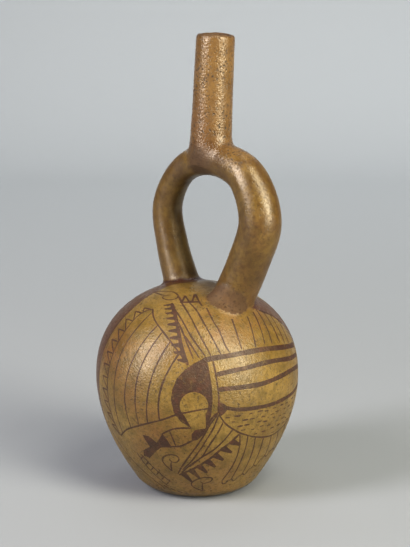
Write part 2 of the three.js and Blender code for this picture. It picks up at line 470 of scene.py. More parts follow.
def border_loops(faces: Array) -> tuple[Array, list[list[int]]]:
    """The open borders of a mesh, once faces that meet only at a corner are taken off.

    Args:
        faces: Four corners for each face.

    Returns:
        The faces that stay, and each border as a list of points in the faces' own direction.
    """
    while True:
        starts = faces.ravel()
        ends = np.roll(faces, -1, axis=1).ravel()
        size = int(faces.max()) + 1
        forward, backward = starts * size + ends, ends * size + starts
        open_edges = ~np.isin(forward, backward)
        tails, heads = starts[open_edges], ends[open_edges]
        counts = np.bincount(tails, minlength=size)
        pinched = np.flatnonzero(counts > 1)
        if not len(pinched):
            break
        faces = faces[~np.isin(faces, pinched).any(1)]
    following = dict(zip(tails.tolist(), heads.tolist()))
    loops = []
    while following:
        start, at = next(iter(following.items()))
        loop = [start]
        del following[start]
        while at != start:
            loop.append(at)
            at = following.pop(at)
        loops.append(loop)
    return faces, loops


def outline_area(outline: Array) -> float:
    """Area of a closed outline, above 0 when it runs anticlockwise."""
    x, y = outline[:, 0], outline[:, 1]
    return float((x * np.roll(y, -1) - np.roll(x, -1) * y).sum() / 2)


def is_simple(outline: Array, thinnest: float = 1e-3) -> bool:
    """Whether a closed outline has an inside and nowhere crosses itself."""
    if abs(outline_area(outline)) < thinnest:
        return False
    ends = np.roll(outline, -1, axis=0)
    count = len(outline)
    for i in range(count - 2):
        for j in range(i + 2, count - (i == 0)):
            a, b, c, d = outline[i], ends[i], outline[j], ends[j]
            if side_of(a, b, c) * side_of(a, b, d) < 0 and side_of(c, d, a) * side_of(c, d, b) < 0:
                return False
    return True


def side_of(a: Array, b: Array, point: Array) -> float:
    """Above 0 where a point lies to the left of the line from a to b."""
    return float((b[0] - a[0]) * (point[1] - a[1]) - (b[1] - a[1]) * (point[0] - a[0]))


@dataclass
class Brush:
    """Lays slip on the chamber's wall as small facets of the flat map.

    Places are given as degrees round the chamber from the picture's middle and millimetres
    up the wall, as a painter would measure them.
    """

    wall: Egg
    form: Form
    turn: float = 0.0
    step: float = 1.7  # length of one facet in mm
    clear: float = 2.7  # how far the slip keeps off the arms, in mm
    rng: np.random.Generator = field(default_factory=lambda: np.random.default_rng(11))
    facets: list[Array] = field(default_factory=list)

    def lay(self, points: Sequence[Point]) -> Array:
        """Places on the wall as points of the flat map."""
        spots = np.asarray(points, float)
        return self.wall.flat(FRONT + np.radians(spots[:, 0] + self.turn), spots[:, 1])

    def bare_of_stirrup(self, flat: Array) -> Array:
        """Which points of the flat map lie clear of the arms' feet."""
        angle, up = self.wall.from_flat(flat)
        points, _ = self.wall.surface(angle, up)
        return foot_margin(self.form, points) > self.clear

    def add(self, outline: Array) -> None:
        """Keeps one facet, anticlockwise; an outline that isn't simple is left out."""
        if outline_area(outline) < 0:
            outline = outline[::-1]
        if is_simple(outline):
            self.facets.append(outline)
        elif len(outline) == 4:
            self.add(outline[:3])
            self.add(outline[[0, 2, 3]])
        elif len(outline) > 4:
            log.warning("an outline of %d points crosses itself", len(outline))

    def line(
        self, points: Sequence[Point], width: float = 1.0, smooth: bool = True, sway: float = 0.12
    ) -> None:
        """Draws one brush line.

        Args:
            points: Places that the line passes through.
            width: The line's width in mm.
            smooth: Whether it bends softly through the places or runs straight between them.
            sway: How unsteady its width is, as a share of it.
        """
        spots = self.lay(points)
        if smooth and len(spots) > 2:
            spots = smooth_through(spots, np.linspace(0.0, 1.0, 16 * len(spots)))
        steps = np.linalg.norm(np.diff(spots, axis=0), axis=1)
        _, up = self.wall.from_flat(spots)
        scale = self.wall.scale(up)
        run = running_total(steps / ((scale[1:] + scale[:-1]) / 2))
        count = max(2, int(run[-1] / self.step) + 1)
        even = np.linspace(0.0, run[-1], count)
        if not smooth:
            even = np.unique(np.concatenate([even, run]))
        track = np.stack([np.interp(even, run, spots[:, i]) for i in (0, 1)], 1)
        heading = np.gradient(track, axis=0)
        heading /= np.linalg.norm(heading, axis=1)[:, None] + 1e-12
        side = np.stack([-heading[:, 1], heading[:, 0]], 1)
        phase = self.rng.uniform(0.0, FULL_TURN, 3)
        waves = np.sin(even / LONG_WAVE + phase[0]) + SHORT_SHARE * np.sin(even / SHORT_WAVE + phase[1])
        ends = np.minimum(even, run[-1] - even)
        press = (1 + sway * waves) * np.clip(TIP + ends / TIP_LENGTH, 0.0, 1.0)
        drift = DRIFT * np.sin(even / DRIFT_WAVE + phase[2])
        scale = np.interp(even, run, scale)
        half = width / 2 * press * scale
        left = track + side * (drift * scale + half)[:, None]
        right = track + side * (drift * scale - half)[:, None]
        free = self.bare_of_stirrup(left) & self.bare_of_stirrup(right)
        for i in range(len(track) - 1):
            if free[i] and free[i + 1]:
                self.add(np.stack([right[i], right[i + 1], left[i + 1], left[i]]))

    def fill(self, points: Sequence[Point]) -> None:
        """Fills a closed outline."""
        spots = self.lay(points)
        if self.bare_of_stirrup(spots).all():
            self.add(spots)


def between(a: Point, b: Point, share: float) -> Point:
    """The place a share of the way from one place to another."""
    return a[0] + (b[0] - a[0]) * share, a[1] + (b[1] - a[1]) * share


def along_line(points: Sequence[Point], share: float) -> Point:
    """The place a share of the length along a smooth line through places."""
    dense = smooth_through(points, np.linspace(0.0, 1.0, 80))
    run = running_total(np.hypot(*np.diff(dense, axis=0).T))
    at = share * run[-1]
    return float(np.interp(at, run, dense[:, 0])), float(np.interp(at, run, dense[:, 1]))


def bowed(start: Point, end: Point, bow: float) -> list[Point]:
    """Places on a line from start to end that swells sideways by bow degrees in its middle."""
    places = []
    for step in range(7):
        share = step / 6
        spot = between(start, end, share)
        places.append((spot[0] + 4 * bow * share * (1 - share), spot[1]))
    return places


@dataclass
class Picture:
    """The painted winged creature that fills one side of the chamber, drawn in fine lines.

    Its parts stand in the layout usual on such bottles: a crescent head with a light disc,
    a fan of wing lines before it, combs above and below, and a striped body with a tail.
    """

    brush: Brush
    shoulder: tuple[Point, ...] = ((-46, 142), (-38, 136), (-30, 131), (-19, 123), (-11, 115), (-5, 108))
    neck: tuple[Point, ...] = ((-54, 55), (-45, 62), (-35, 67), (-21, 73), (-10, 78), (-3, 80), (7, 82))
    belly_edge: tuple[Point, ...] = (
        (12, 78), (15, 73), (18, 69.5), (21, 67), (25, 64), (30, 61.5),
        (36, 59), (44, 57), (52, 56), (60, 57), (70, 60), (80, 66),
    )
    round_scale: float = 1.09  # millimetres to one degree round the chamber's widest line

    def zigzag_border(self, teeth: int = 12) -> None:
        """The toothed line down the outer edge of the fan, with its base line."""
        base = [(-46, 141.5), (-54, 135), (-56.5, 121), (-58.5, 103), (-59.5, 84), (-58, 66), (-54, 55)]
        self.brush.line(base, 0.9)
        for tooth in range(teeth):
            high = along_line(base, (tooth + 0.1) / teeth)
            low = along_line(base, (tooth + 1.0) / teeth)
            reach = 10.0 - 5.0 * tooth / teeth
            self.brush.line([high, (high[0] - reach, high[1] - 0.5), low], 1.0, smooth=False)

    def wing_fan(self) -> None:
        """The wide wing of curved lines between the shoulder line and the neck line."""
        self.brush.line(self.shoulder, 1.0)
        self.brush.line(self.neck, 1.1)
        for top, foot, bow, width in (
            (0.08, 0.06, -5.0, 0.9),
            (0.36, 0.23, -6.2, 0.9),
            (0.49, 0.34, -5.0, 0.95),
            (0.66, 0.44, -3.4, 1.05),
            (0.84, 0.56, -3.6, 1.15),
        ):
            high, low = along_line(self.shoulder, top), along_line(self.neck, foot)
            self.brush.line(bowed(high, low, bow), width)

    def comb(
        self, spine: Sequence[Point], teeth: int, first: Point, last: Point, thick: float, start: float = 0.0
    ) -> None:
        """A dark feather edge with blunt wedge-shaped teeth.

        Args:
            spine: Places along the edge that carries the teeth.
            teeth: How many teeth there are.
            first: How far the first tooth reaches, in degrees round and mm up.
            last: How far the last one does.
            thick: Width of the edge in mm.
            start: Share of the edge before the first tooth.
        """
        self.brush.line(spine, thick, sway=0.06)
        for tooth in range(teeth):
            low = along_line(spine, start + (1 - start) * (tooth + 0.08) / teeth)
            high = along_line(spine, start + (1 - start) * (tooth + 0.82) / teeth)
            reach = between(first, last, tooth / (teeth - 1))
            root = between(low, high, 0.5)
            tip = (root[0] + reach[0], root[1] + reach[1])
            blunt = (tip[0] + (high[0] - low[0]) * 0.34, tip[1] + (high[1] - low[1]) * 0.34)
            self.brush.fill([low, between(low, tip, 0.55), tip, blunt, between(high, blunt, 0.5), high])

    def crest(self) -> None:
        """The upper comb, with the fine lines that run from the crown to the top stripe."""
        spine = [(-30, 149.5), (-24, 145), (-18, 138), (-13, 128), (-9.5, 118), (-5, 107.5)]
        self.comb(spine, 10, (-9.5, -1.5), (-5.6, 1.0), 2.2)
        for line in (
            [(-24, 145), (-14, 138), (-5, 127), (0, 120), (5, 112.5)],
            [(-15, 135), (-9, 126), (-6, 120), (-2, 111.5)],
            [(-9, 126), (-4, 120), (1.5, 112)],
            [(-19, 151), (-11, 145), (-4, 137), (1, 128), (5, 120), (8.5, 112.5)],
            [(-10, 152), (-1, 145), (4, 137), (8, 129), (12, 120), (14.5, 113.5)],
            [(9, 148), (13, 136), (16, 129), (18, 119), (20, 114.5)],
        ):
            self.brush.line(line)
        for top, foot in (
            ((30, 139), (28.5, 115)),
            ((46, 137), (38.5, 115)),
            ((56, 139), (46.5, 115)),
            ((62, 138), (53, 114)),
            ((68, 135), (61, 113)),
            ((73, 131), (67, 111)),
            ((79, 126), (73, 109)),
        ):
            self.brush.line(bowed(top, foot, -0.8))
        self.brush.line([(54, 142), (60, 140), (67, 134.5), (75, 129), (81, 121)], 1.2)

    def stripes(self) -> None:
        """The four broad stripes of the body, and the knot at the lowest one."""
        for stripe, width in (
            ([(3, 110), (20, 112.5), (38, 113), (56, 111), (72, 108), (84, 105.5)], 3.1),
            ([(10.5, 101.5), (22, 103.5), (34, 104.5), (52, 104), (68, 101.5), (84, 99)], 2.8),
            ([(11.5, 93), (24, 93), (38, 93), (54, 94), (70, 94), (84, 92)], 2.9),
            ([(15, 82), (22, 80), (32, 79), (44, 78.5), (56, 79), (70, 79.5), (84, 80.5)], 2.5),
        ):
            self.brush.line(stripe, width, sway=0.05)
        self.brush.fill([(11.6, 85.5), (15, 84.2), (17, 81), (15.5, 78.5), (13, 76.5), (11.2, 79.5)])

    def head(self) -> None:
        """The dark crescent round a light disc, with the collar beside it."""
        middle, radius = (-1.5, 83.5), 8.4
        disc = []
        for degrees in range(228, -40, -12):
            c, s = math.cos(math.radians(degrees)), math.sin(math.radians(degrees))
            disc.append((middle[0] + radius / self.round_scale * c, middle[1] + radius * s))
        outer = [(4, 111.5), (-2, 108.5), (-7, 104.5), (-11, 99.5), (-13.3, 93), (-14, 87), (-12.5, 79)]
        outer += [(-9, 73.5), (-3, 69.3)]
        right = [(5, 69.5), (7.8, 77), (8.6, 87), (8.2, 95), (7.3, 102), (6.4, 108.5)]
        self.brush.fill(outer + disc + right)
        self.brush.line([(9.3, 110), (11, 98), (12, 88), (11.6, 79.5)], 1.0)
        self.brush.line([(11.6, 79), (8, 75), (5.2, 69)], 1.3)

    def belly(self) -> None:
        """The rounded belly under the stripes, filled with rows of short dashes."""
        self.brush.line(self.belly_edge, 1.05)
        lows = np.array(self.belly_edge)
        first, apart, down = (17.5, 75.6), 6.4, 3.5
        for row in range(6):
            for place in range(11):
                shift = self.brush.rng.uniform(-1.0, 1.0, 3)
                degree = first[0] + apart * place + apart / 2 * (row % 2) + 1.3 * shift[0]
                level = first[1] - down * row + 0.6 * shift[1]
                floor = np.interp(degree, lows[:, 0], lows[:, 1])
                if level > floor + 2.0 and degree < 78:
                    long = 1.5 + 0.5 * shift[2]
                    self.brush.line([(degree - long, level), (degree + long, level + 0.3 * shift[0])], 1.2)

    def tail(self) -> None:
        """Feathers that fall from the belly to scalloped tips, and the lower comb beside them."""
        feet = [(20, 26), (28, 27), (37, 30), (45, 35), (54, 41), (63, 44), (72, 47)]
        tops = [(25.5, 63), (31, 61), (37, 59), (44, 57), (51.5, 56), (59, 57), (67, 59)]
        bows = [3.5, 1.6, 1.0, 0.4, 0.6, 0.4, 0.6]
        for top, foot, bow in zip(tops, feet, bows):
            self.brush.line(bowed(top, foot, bow), 0.95)
        for left, right in zip(feet, feet[1:]):
            low = between(left, right, 0.32)
            notch = between(left, right, 0.66)
            cup = [left, (low[0] - 1.5, low[1] - 3.2), (low[0] + 1.0, low[1] - 3.8)]
            cup += [(notch[0], notch[1] - 0.8), (notch[0] + 1.4, notch[1] - 1.6), right]
            self.brush.line(cup, 1.0)
        for strand, width in (
            ([(11.5, 78), (7, 71), (2.5, 61), (-4, 50), (-14, 33)], 1.05),
            ([(12, 77.5), (9, 68), (5, 60), (2, 54), (-4, 44), (-10, 37)], 0.95),
            ([(14.5, 72.5), (12, 66), (8, 58), (6, 54), (3, 48), (-5, 40)], 1.05),
            ([(21, 67.5), (16, 60), (11, 54), (6, 50), (2, 47), (-5, 41), (-11, 34.5)], 1.05),
        ):
            self.brush.line(strand, width)
        spine = [(25, 63), (20, 57.5), (14, 52.5), (7, 45.5), (-3, 38), (-13, 32)]
        self.comb(spine, 7, (7.0, -2.8), (6.8, -7.4), 1.6, 0.07)

    def foot(self) -> None:
        """The leg that reaches left from the head, with its dark forked foot and dark heel."""
        outline = [(-33.5, 61), (-29, 61), (-24.5, 57), (-20, 64), (-17.5, 60), (-15, 54.7), (-22, 54)]
        outline += [(-27, 49.5), (-32.5, 43.7), (-37, 44.8), (-36, 49), (-30, 53), (-32, 57)]
        self.brush.fill(outline)
        self.brush.line([(-20.5, 63.5), (-15, 67.3), (-10, 69), (-3, 69.3)], 1.05)
        self.brush.line([(-16, 55.3), (-10, 56), (-3.5, 60), (1, 63.5), (5, 69.3)], 1.05)
        self.brush.line([(-15.5, 67), (-12.6, 56.2)], 1.0)
        self.brush.fill([(-3, 65), (-1, 68), (2, 68.8), (5.2, 68.8), (4, 65), (0.3, 61), (-3, 60.3)])

    def curl(self, middle: Point, wide: float, high: float, tilt: float) -> None:
        """A small filler curl, like a seed that has begun to sprout.

        Args:
            middle: Its place.
            wide: Half its width in mm.
            high: Half its height in mm.
            tilt: How far it is turned anticlockwise, in degrees.
        """
        body = [(-0.1, -1.3), (-0.8, -0.5), (-1, 0.2), (-0.6, 0.7), (0.1, 1), (0.8, 0.9)]
        body += [(1.05, 0.5), (0.7, 0.05), (0.1, 0.05), (-0.1, 0.45)]
        stem = [(0.1, 0.05), (-0.05, -0.5), (-0.1, -1.3)]
        to_degrees = 180 / math.pi / float(np.interp(middle[1], self.brush.wall.up, self.brush.wall.r))
        c, s = math.cos(math.radians(tilt)), math.sin(math.radians(tilt))
        for stroke in (body, stem):
            turned = [(c * wide * u - s * high * v, s * wide * u + c * high * v) for u, v in stroke]
            self.brush.line([(middle[0] + u * to_degrees, middle[1] + v) for u, v in turned], 0.95)

    def fillers(self) -> None:
        """The curls, the crown by the arm's foot and the ladder strip near the base."""
        self.curl((-17.5, 43), 5.2, 6.0, 0.0)
        self.curl((4, 24.5), 6.4, 5.6, 12.0)
        self.curl((-52, 155.5), 4.6, 10.0, -78.0)
        crown = [(-28, 157), (-18.5, 151.5), (-19, 158.5), (-10, 152.5)]
        crown += [(-5.5, 153), (-3.5, 161), (3, 152), (6, 148)]
        self.brush.line(crown, 1.25, smooth=False)
        self.brush.line([(-21, 151), (-10, 151.8), (3, 152.5)], 1.5)
        self.brush.line(bowed((-67, 53), (-30, 17), -3.0), 0.85)
        self.brush.line(bowed((-39, 45), (-21, 24.5), -1.5), 0.95)
        self.brush.line(bowed((-43, 46), (-25, 20), -3.0), 0.85)
        for rung in range(6):
            high = between((-38, 44), (-22, 25.5), rung / 5)
            self.brush.line([high, (high[0] - 4.2, high[1] - 3.8)], 0.8)
        for dash in range(4):
            self.brush.line([(-30 + 6 * dash, 20 - 1.8 * dash), (-26 + 6 * dash, 18 - 1.6 * dash)], 1.3)

    def draw(self, with_fillers: bool) -> None:
        """Draws the side part by part; the hidden side goes without its small fillers."""
        self.zigzag_border()
        self.wing_fan()
        self.crest()
        self.stripes()
        self.head()
        self.belly()
        self.tail()
        self.foot()
        if with_fillers:
            self.fillers()


def foot_margin(form: Form, points: Array) -> Array:
    """Distance outside the stirrup's own region, where FOOT_KEEP is its border."""
    tube, _ = form.arch.reach(points)
    tube = form.flared(points, tube)
    first, last = form.arch.line[0], form.arch.line[-1]
    share = np.clip((points[:, 0] - first[0]) / (last[0] - first[0]), 0.0, 1.0)
    strip = np.hypot(points[:, 0] - first[0] - share * (last[0] - first[0]), points[:, 1] - first[1])
    strip = np.where(points[:, 2] > form.chamber.widest, strip, np.inf)
    return np.minimum(tube, strip - NECK + FOOT_KEEP)


@dataclass
class SheetMesh:
    """A triangulated wall: flat points, triangles, which are painted, and the border's points."""

    flat: Array
    faces: Array
    paint: Array
    marks: dict[int, tuple[int, int]]


@dataclass
class Sheet:
    """A wall triangulated on its flat map, with a round border below and holes for the arms."""

    egg: Egg
    form: Form
    is_outer: bool = True
    border_count: int = 96
    spacing: float = 3.0
    near_spacing: float = 1.4  # the closer spacing round the stirrup
    near: float = 9.0  # how far from the stirrup that spacing holds
    border_gap: float = 0.7  # how far the points stay off the stirrup's border
    closest: float = 0.75  # how far they stay off points that are already taken
    row_share: float = 0.87  # distance between rows, as a share of the spacing

    def margin(self, points: Array) -> Array:
        """Distance outside the region that the stirrup's mesh covers on this wall."""
        if self.is_outer:
            return foot_margin(self.form, points)
        tube, _ = self.form.arch.reach(points)
        return tube + self.form.arch.wall + FOOT_KEEP - BORE_KEEP

    def lattice(self, taken: Array) -> Array:
        """Evenly strewn points of the flat map, kept off points that are already taken."""
        rows = []
        near_from = FOOT_KEEP + self.border_gap
        for spacing, low, high in (
            (self.spacing, self.near, np.inf),
            (self.near_spacing, near_from, self.near),
        ):
            ups = np.arange(spacing, self.egg.up[-1] - 0.5, spacing * self.row_share)
            for index, up in enumerate(ups):
                around = FULL_TURN * float(np.interp(up, self.egg.up, self.egg.r))
                count = max(3, round(around / spacing))
                angle = (np.arange(count) + 0.5 * (index % 2)) * FULL_TURN / count
                spots = np.stack([angle, np.full(count, up)], 1)
                margin = self.margin(self.egg.surface(*spots.T)[0])
                rows.append(spots[(margin >= low) & (margin < high)])
        spots = np.concatenate(rows)
        tree = KDTree(len(taken))
        for i, spot in enumerate(self.egg.surface(*self.egg.from_flat(taken))[0]):
            tree.insert(Vector(spot), i)
        tree.balance()
        places, _ = self.egg.surface(*spots.T)
        free = np.array([tree.find(Vector(p))[2] > self.closest for p in places])
        return self.egg.flat(*spots[free].T)

    def build(self, loops: list[Array], facets: list[Array]) -> SheetMesh:
        """Triangulates the wall.

        Args:
            loops: The border of each hole, as points of the flat map.
            facets: Painted outlines on the flat map.

        Returns:
            The wall's mesh, with each point of a loop or of the lower border marked.
        """
        ring_angle = np.arange(self.border_count) * FULL_TURN / self.border_count
        ring = self.egg.flat(ring_angle, np.zeros(self.border_count))
        flips = [outline_area(loop) <= 0 for loop in loops]
        outlines = [ring] + [loop[::-1] if flip else loop for loop, flip in zip(loops, flips)] + facets
        fixed = np.concatenate(outlines)
        corners = [Vector(p) for p in np.concatenate([fixed, self.lattice(fixed)])]
        starts = np.cumsum([0] + [len(o) for o in outlines])
        shapes = [list(range(a, b)) for a, b in zip(starts, starts[1:])]
        verts, _, faces, origins, _, owners = delaunay_2d_cdt(corners, [], shapes, 0, MERGE, True)
        first_paint = 1 + len(loops)
        holes = set(range(1, first_paint))
        kept, paint = [], []
        for face, owner in zip(faces, owners):
            if 0 in owner and not holes.intersection(owner):
                kept.append(face)
                paint.append(any(o >= first_paint for o in owner))
        flat = np.array([(v.x, v.y) for v in verts])
        marks = {}
        for new, olds in enumerate(origins):
            for old in olds:
                if old < starts[first_paint]:
                    which = int(np.searchsorted(starts, old, side="right")) - 1
                    index = old - int(starts[which])
                    if which and flips[which - 1]:
                        index = len(outlines[which]) - 1 - index
                    marks[new] = (which, index)
        return SheetMesh(flat, np.array(kept), np.array(paint, float), marks)


@dataclass
class Mesh:
    """A mesh in the making, in mm."""

    points: list[Array] = field(default_factory=list)
    normals: list[Array] = field(default_factory=list)
    faces: list[list[int]] = field(default_factory=list)
    paint: list[float] = field(default_factory=list)
    skins: list[int] = field(default_factory=list)
    size: int = 0

    def add_points(self, points: Array, normals: Array) -> int:
        """Adds points with the directions they face, and returns the first one's number."""
        first = self.size
        self.points.append(points)
        self.normals.append(normals)
        self.size += len(points)
        return first

    def add_faces(self, faces: Array, skins: Array, paint: Array) -> None:
        """Adds faces, each with its skin and whether it is painted."""
        self.faces.extend(faces.tolist())
        self.skins.extend(skins.tolist())
        self.paint.extend(paint.tolist())


@dataclass(frozen=True)
class WearAndShade:
    """Where the bottle is browner, scuffed and pitted, and where shade is painted on the lip and in the bore,
    with heights and reaches in mm.
    """

    stains: tuple[tuple[Triple, float, float], ...] = (  # place, reach and depth
        ((6.0, 0.0, 203.0), 17.0, 1.0),
        ((-12.0, 2.0, 198.0), 13.0, 0.9),
        ((-26.0, 4.0, 186.0), 11.0, 0.6),
        ((8.0, 4.0, 128.0), 17.0, 0.7),
        ((-14.0, 4.0, 124.0), 14.0, 0.6),
    )
    arms: Point = (0.58, 2.5)  # depth on the arms, and how far it runs out on the wall
    arms_top: float = 208.0
    spout: float = 0.15
    flare: Point = (0.95, 1.5)  # depth on the smeared clay, where that is so thick or thicker
    # painted shade: darkens the top of the spout round its lip
    lip: Triple = (0.6, 276.5, 1.5)  # depth, the height it begins at and the height it takes
    # painted shade: darkens the inside of the spout's bore, where shade falls
    bore: Point = (1.2, 210.0)  # depth, and the height it begins at
    scuffed: tuple[Point, ...] = ((118.0, 1.0), (132.0, 0.0))
    pitted: tuple[Point, ...] = ((120.0, 0.5), (140.0, 0.2), (198.0, 0.35), (214.0, 1.0))


@dataclass
class Vessel:
    """The whole bottle as one closed mesh: stirrup and spout, outer wall, cavity and base."""

    chamber: Egg = field(default_factory=Egg)
    cavity: Egg = field(default_factory=lambda: Egg(radius=57.8, floor=6.0, top=123.4))
    arch: Arch = field(default_factory=Arch)
    spout: Spout = field(default_factory=Spout)
    # browning, scuffs and pits, with painted shade on the lip's top and in the spout's bore
    wear: WearAndShade = field(default_factory=WearAndShade)
    net_step: float = 1.15
    net_box: tuple[Triple, Triple] = ((-47.0, -18.0, 97.0), (64.0, 29.0, 283.0))
    net_floor: float = 99.0  # height from which the net is kept
    arms_clear: float = 150.0  # height above which the arms stand clear of the chamber
    shortest_border: int = 12  # borders of the net with no more points than this are left out
    side_bands: tuple[tuple[Triple, ...], ...] = (  # length up the wall, first and last degree round it
        (
            (0, -103, -77), (60, -104, -75), (92, -104, -72), (127, -107, -70), (136, -110, -70),
            (144, -118, -73), (152, -130, -77), (159, -150, -82), (166, -178, -93),
        ),
        (
            (0, 93, 108), (95, 92, 108), (110, 85, 106), (121, 81, 104),
            (129, 75, 102), (135, 67, 100), (141, 57, 96), (150, 48, 88),
        ),
    )
    band_gap: float = 0.8  # how far the bands keep off the arms
    collar: Triple = (3.3, 2.7, 135.0)  # its distance from the arm, half its width and its top
    form: Form = field(init=False)
    mesh: Mesh = field(default_factory=Mesh)

    def __post_init__(self) -> None:
        """Joins the parts into one form."""
        self.form = Form(self.chamber, self.cavity, self.arch, self.spout)

    def stirrup(self) -> tuple[list[Array], list[Array]]:
        """Builds the arms, the spout and their bores.

        Returns:
            The borders on the outer wall and on the cavity's roof, as numbers of mesh points.
        """
        low, high = np.array(self.net_box)
        counts = np.ceil((high - low) / self.net_step).astype(int) + 1
        axes = [low[i] + np.arange(counts[i]) * self.net_step for i in range(3)]
        grid = np.stack(np.meshgrid(*axes, indexing="ij"), -1).reshape(-1, 3)
        values = self.form.clay(grid).reshape(counts)
        points, faces = surface_net(values, low, self.net_step)
        for _ in range(3):
            slope = self.form.outward(points)
            points = points - slope * (self.form.clay(points) / (slope**2).sum(1))[:, None]
        outer, inner = self.form.layers(points)
        tube, _ = self.arch.reach(points)
        bore = np.minimum(tube + self.arch.wall, self.spout.bore(points))
        skin = (foot_margin(self.form, points) < FOOT_KEEP) | (points[:, 2] > self.arms_clear)
        is_outer = np.abs(outer) < np.abs(inner)
        kept = np.where(is_outer, skin, bore < BORE_KEEP) & (points[:, 2] > self.net_floor)
        faces, loops = border_loops(faces[kept[faces].all(1)])
        used = np.unique(faces)
        renumber = np.full(len(points), -1)
        renumber[used] = np.arange(len(used))
        points, is_outer = points[used], is_outer[used]
        normals = self.form.outward(points)
        normals /= np.linalg.norm(normals, axis=1)[:, None]
        first = self.mesh.add_points(points, normals)
        faces = renumber[faces]
        near_spout = self.spout.outside(points) < tube[used]
        near_bore = self.spout.bore(points) < (tube + self.arch.wall)[used]
        outer_skin = np.where(near_spout, Skin.SPOUT.value, Skin.ARCH.value)
        inner_skin = np.where(near_bore, Skin.SPOUT_BORE.value, Skin.ARCH_BORE.value)
        skins = np.where(is_outer, outer_skin, inner_skin)
        self.mesh.add_faces(faces + first, skins[faces[:, 0]], np.zeros(len(faces)))
        loops = [renumber[np.array(loop)] for loop in loops if len(loop) > self.shortest_border]
        outside = [loop + first for loop in loops if is_outer[loop].mean() > 0.5]
        inside = [loop + first for loop in loops if is_outer[loop].mean() <= 0.5]
        log.info("stirrup and spout: %d faces, borders %s", len(faces), [len(x) for x in loops])
        return outside, inside

    def wall(self, sheet: Sheet, loops: list[Array], facets: list[Array], skin: Skin) -> Array:
        """Adds a wall that meets the stirrup along its borders.

        Args:
            sheet: How the wall is triangulated.
            loops: The stirrup's borders on it, as numbers of mesh points.
            facets: Painted outlines on its flat map.
            skin: Which stretch of surface it is.

        Returns:
            Numbers of the points on its lower border, in order.
        """
        egg = sheet.egg
        known = np.concatenate(self.mesh.points)
        flat_loops = [egg.flat(*egg.nearest(known[loop])) for loop in loops]
        made = sheet.build(flat_loops, facets)
        points, normals = egg.surface(*egg.from_flat(made.flat))
        near = sheet.margin(points) < BLEND
        base, out = points[near], normals[near]
        for _ in range(REST_ROUNDS):
            away = self.form.layers(base)[0 if sheet.is_outer else 1]
            base = base - out * (REST_SHARE * away)[:, None]
        points[near] = base
        slope = self.form.outward(base)
        normals *= 1.0 if sheet.is_outer else -1.0
        normals[near] = slope / np.linalg.norm(slope, axis=1)[:, None]
        first = self.mesh.add_points(points, normals)
        number = np.arange(len(points)) + first
        ring = np.zeros(sheet.border_count, int)
        for new, (which, index) in made.marks.items():
            if which:
                number[new] = loops[which - 1][index]
            else:
                ring[index] = number[new]
        faces = number[made.faces]
        if not sheet.is_outer:
            faces = faces[:, ::-1]
        self.mesh.add_faces(faces, np.full(len(faces), skin.value), made.paint)
        log.info("%s: %d triangles, %d painted", skin.name.lower(), len(faces), int(made.paint.sum()))
        return ring

    def disc(self, ring: Array, skin: Skin, faces_down: bool) -> None:
        """Closes a round border with a flat disc.

        Args:
            ring: Numbers of the border's points.
            skin: Which stretch of surface it is.
            faces_down: Whether it is seen from below.
        """
        edge = np.concatenate(self.mesh.points)[ring]
        facing = np.array([0.0, 0.0, -1.0 if faces_down else 1.0])
        count = len(ring)
        rows = [ring]
        for share in (0.75, 0.5, 0.25):
            inner = edge * np.array([share, share, 1.0])
            start = self.mesh.add_points(inner, np.tile(facing, (count, 1)))
            rows.append(np.arange(count) + start)
        centre = self.mesh.add_points(np.array([[0.0, 0.0, edge[0, 2]]]), facing[None])
        quads = []
        for outer, inner in zip(rows, rows[1:]):
            quads.append(np.stack([outer, np.roll(outer, -1), np.roll(inner, -1), inner], 1))
        last = rows[-1]
        caps = np.stack([last, np.roll(last, -1), np.full(count, centre)], 1)
        for faces in (np.concatenate(quads), caps):
            turned = faces[:, ::-1] if faces_down else faces
            self.mesh.add_faces(turned, np.full(len(faces), skin.value), np.zeros(len(faces)))

    def bands(self, points: Array) -> Array:
        """Distance outside the broad slip bands and the collar, below 0 inside, in mm."""
        angle, up = self.chamber.nearest(points)
        degrees = wrapped(np.degrees(angle - FRONT))
        round_mm = np.interp(up, self.chamber.up, self.chamber.r) * math.pi / 180
        away = np.full(len(points), FAR)
        for band in self.side_bands:
            ups, starts, ends = np.array(band).T
            start, end = np.interp(up, ups, starts), np.interp(up, ups, ends)
            middle, half = (start + end) / 2, (end - start) / 2
            off = np.abs(wrapped(degrees - middle))
            away = np.minimum(away, np.where(up < ups[-1], (off - half) * round_mm, FAR))
        tube, along = self.arch.reach(points)
        away = np.maximum(away, self.band_gap - tube)
        middle, half, top = self.collar
        at_left = (along < self.arch.along[-1] / 2) & (points[:, 2] < top)
        return np.where(at_left, np.minimum(away, np.abs(tube - middle) - half), away)

    def grime_and_shade(self, points: Array) -> Array:
        """How much browner the surface is: the stains, the arms and the smeared clay, with painted shade on
        the lip's top and in the spout's bore.
        """
        wear, heights = self.wear, points[:, 2]
        total = np.zeros(len(points))
        for middle, reach, depth in wear.stains:
            gap = np.linalg.norm(points - np.array(middle), axis=1)
            total = np.maximum(total, depth * np.exp(-((gap / reach) ** 2)))
        tube, _ = self.arch.reach(points)
        flared = self.form.flared(points, tube)
        by_arm = wear.arms[0] * np.exp(-((np.clip(tube, 0.0, None) / wear.arms[1]) ** 2))
        arms = np.where(heights < wear.arms_top, by_arm, wear.spout)
        foot = wear.flare[0] * np.clip((tube - flared) / wear.flare[1], 0.0, 1.0) * (flared < 0.4)
        # painted shade: darkens the top of the spout round its lip
        lip = wear.lip[0] * np.clip((heights - wear.lip[1]) / wear.lip[2], 0.0, 1.0)
        # painted shade: darkens the inside of the spout's bore
        bore = wear.bore[0] * (self.spout.bore(points) < 1.0) * (heights > wear.bore[1])
        return np.maximum.reduce([total, arms, foot, lip, bore])

